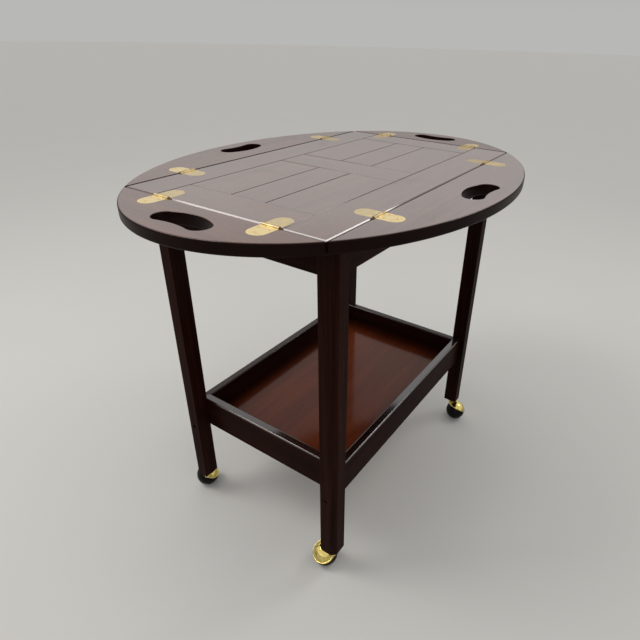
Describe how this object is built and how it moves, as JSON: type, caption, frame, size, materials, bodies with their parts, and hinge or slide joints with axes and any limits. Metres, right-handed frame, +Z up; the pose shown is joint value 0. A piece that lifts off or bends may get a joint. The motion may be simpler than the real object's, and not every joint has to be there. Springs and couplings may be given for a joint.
{
  "type": "butlers tray table",
  "caption": "Oval butler's tray table with hinged leaves that have hand holes, on a straight-legged stand with a shelf tray and ball casters.",
  "frame": {"origin": "on the floor, under the middle of the oval top", "axes": "+X along the oval's length, +Y across it, +Z up"},
  "size_m": [0.762, 0.555, 0.6274],
  "materials": {
    "top_wood": "dark mahogany, gloss lacquer",
    "stand_wood": "dark mahogany, satin gloss lacquer",
    "shelf_panel": "red mahogany veneer, gloss lacquer",
    "inner_wood": "stained, unpolished",
    "hinge_brass": "brushed brass",
    "caster_brass": "polished brass",
    "steel": "zinc plated",
    "wheel_black": "hard black plastic"
  },
  "bodies": {
    "stand": {"leg_front_left": "stand_wood", "leg_front_right": "stand_wood", "leg_back_left": "stand_wood", "leg_back_right": "stand_wood", "apron_front": "stand_wood", "apron_back": "stand_wood", "apron_left": "stand_wood", "apron_right": "stand_wood", "shelf_wall_front": "stand_wood", "shelf_wall_back": "stand_wood", "shelf_wall_left": "stand_wood", "shelf_wall_right": "stand_wood", "shelf_floor": "shelf_panel", "corner_blocks": "inner_wood", "shelf_screws": "steel", "caster_sockets": "steel"},
    "tray_top": {"stile_front": "top_wood", "stile_back": "top_wood", "rail_left": "top_wood", "rail_middle": "top_wood", "rail_right": "top_wood", "planks_left": "top_wood", "planks_right": "top_wood", "register_battens": "inner_wood", "batten_screws": "steel", "hinge_plates_front": "hinge_brass", "hinge_plates_back": "hinge_brass", "hinge_plates_left": "hinge_brass", "hinge_plates_right": "hinge_brass", "hinge_pins": "hinge_brass", "hinge_plate_screws": "hinge_brass"},
    "front_leaf": {"leaf_front": "top_wood", "leaf_plates_front": "hinge_brass", "leaf_screws_front": "hinge_brass"},
    "back_leaf": {"leaf_back": "top_wood", "leaf_plates_back": "hinge_brass", "leaf_screws_back": "hinge_brass"},
    "left_leaf": {"leaf_left": "top_wood", "leaf_plates_left": "hinge_brass", "leaf_screws_left": "hinge_brass"},
    "right_leaf": {"leaf_right": "top_wood", "leaf_plates_right": "hinge_brass", "leaf_screws_right": "hinge_brass"},
    "caster_front_left": {"caster_hood_front_left": "caster_brass", "caster_stem_front_left": "steel", "caster_axle_front_left": "steel"},
    "wheel_front_left": {"caster_wheel_front_left": "wheel_black"},
    "caster_front_right": {"caster_hood_front_right": "caster_brass", "caster_stem_front_right": "steel", "caster_axle_front_right": "steel"},
    "wheel_front_right": {"caster_wheel_front_right": "wheel_black"},
    "caster_back_left": {"caster_hood_back_left": "caster_brass", "caster_stem_back_left": "steel", "caster_axle_back_left": "steel"},
    "wheel_back_left": {"caster_wheel_back_left": "wheel_black"},
    "caster_back_right": {"caster_hood_back_right": "caster_brass", "caster_stem_back_right": "steel", "caster_axle_back_right": "steel"},
    "wheel_back_right": {"caster_wheel_back_right": "wheel_black"}
  },
  "joints": [
    {"name": "tray_lift", "type": "slide", "parent": "stand", "child": "tray_top", "axis": [0, 0, 1], "range_m": [0, 0.06]},
    {"name": "front_leaf_fold", "type": "hinge", "parent": "tray_top", "child": "front_leaf", "pos_m": [0, -0.17557, 0.625], "axis": [-1, 0, 0], "range_deg": [0, 90]},
    {"name": "back_leaf_fold", "type": "hinge", "parent": "tray_top", "child": "back_leaf", "pos_m": [0, 0.17557, 0.625], "axis": [1, 0, 0], "range_deg": [0, 90]},
    {"name": "left_leaf_fold", "type": "hinge", "parent": "tray_top", "child": "left_leaf", "pos_m": [-0.2926, 0, 0.625], "axis": [0, 1, 0], "range_deg": [0, 90]},
    {"name": "right_leaf_fold", "type": "hinge", "parent": "tray_top", "child": "right_leaf", "pos_m": [0.2926, 0, 0.625], "axis": [0, -1, 0], "range_deg": [0, 90]},
    {"name": "caster_front_left_swivel", "type": "hinge", "parent": "stand", "child": "caster_front_left", "pos_m": [-0.25005, -0.15472, 0.046], "axis": [0, 0, 1], "continuous": true},
    {"name": "wheel_front_left_roll", "type": "hinge", "parent": "caster_front_left", "child": "wheel_front_left", "pos_m": [-0.24866, -0.13878, 0.0215], "axis": [-0.4981, 0.0436, 0.866], "continuous": true},
    {"name": "caster_front_right_swivel", "type": "hinge", "parent": "stand", "child": "caster_front_right", "pos_m": [0.25005, -0.15472, 0.046], "axis": [0, 0, 1], "continuous": true},
    {"name": "wheel_front_right_roll", "type": "hinge", "parent": "caster_front_right", "child": "wheel_front_right", "pos_m": [0.2438, -0.16945, 0.0215], "axis": [0.4603, -0.1954, 0.866], "continuous": true},
    {"name": "caster_back_left_swivel", "type": "hinge", "parent": "stand", "child": "caster_back_left", "pos_m": [-0.25005, 0.15472, 0.046], "axis": [0, 0, 1], "continuous": true},
    {"name": "wheel_back_left_roll", "type": "hinge", "parent": "caster_back_left", "child": "wheel_back_left", "pos_m": [-0.2402, 0.16733, 0.0215], "axis": [0.394, -0.3078, 0.866], "continuous": true},
    {"name": "caster_back_right_swivel", "type": "hinge", "parent": "stand", "child": "caster_back_right", "pos_m": [0.25005, 0.15472, 0.046], "axis": [0, 0, 1], "continuous": true},
    {"name": "wheel_back_right_roll", "type": "hinge", "parent": "caster_back_right", "child": "wheel_back_right", "pos_m": [0.25805, 0.14087, 0.0215], "axis": [-0.433, -0.25, 0.866], "continuous": true}
  ]
}
